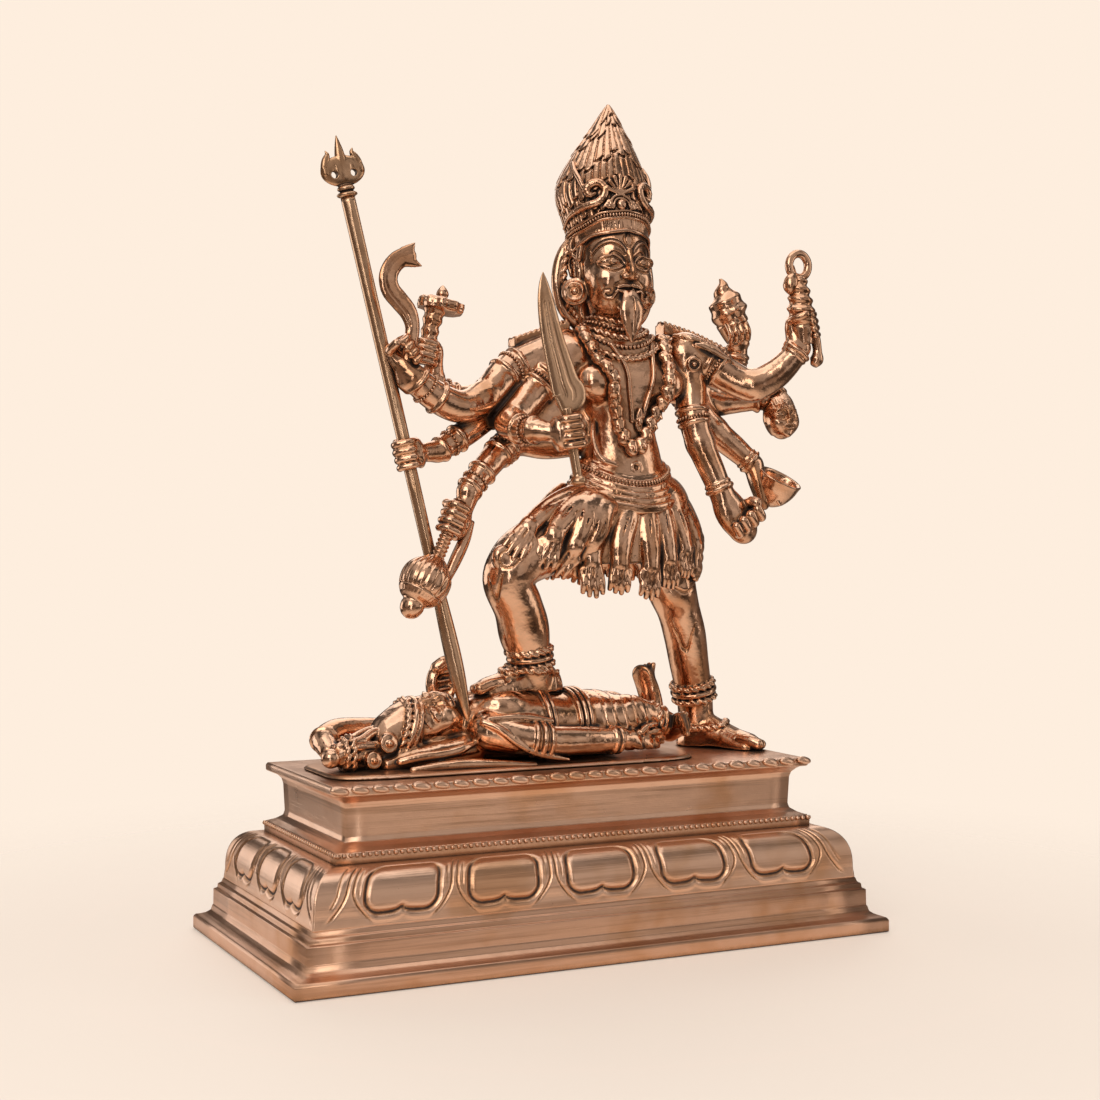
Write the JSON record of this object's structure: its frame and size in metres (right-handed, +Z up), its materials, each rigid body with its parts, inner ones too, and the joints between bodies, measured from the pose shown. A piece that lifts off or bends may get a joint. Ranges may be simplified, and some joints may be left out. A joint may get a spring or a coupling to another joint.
{
  "type": "kali figure",
  "caption": "Cast copper-bronze figure of a many-armed goddess who stands over a lying god on a stepped lotus pedestal. It stands by its own weight.",
  "frame": {"origin": "middle of the pedestal's underside, on the surface it stands on", "axes": "+Z up, -Y to the front that the figure faces, +X to the figure's left hand"},
  "size_m": [0.246, 0.129, 0.333],
  "materials": {
    "pedestal_metal": "copper-toned bronze, brushed along its length, dark brown patina in the carving",
    "figure_metal": "polished copper-toned bronze with dark brown patina in the recesses",
    "weapon_metal": "polished paler brass"
  },
  "bodies": {
    "root": {"pedestal": "pedestal_metal", "lying_figure": "figure_metal", "standing_figure": "figure_metal", "trident": "weapon_metal", "sword": "weapon_metal"}
  },
  "joints": []
}
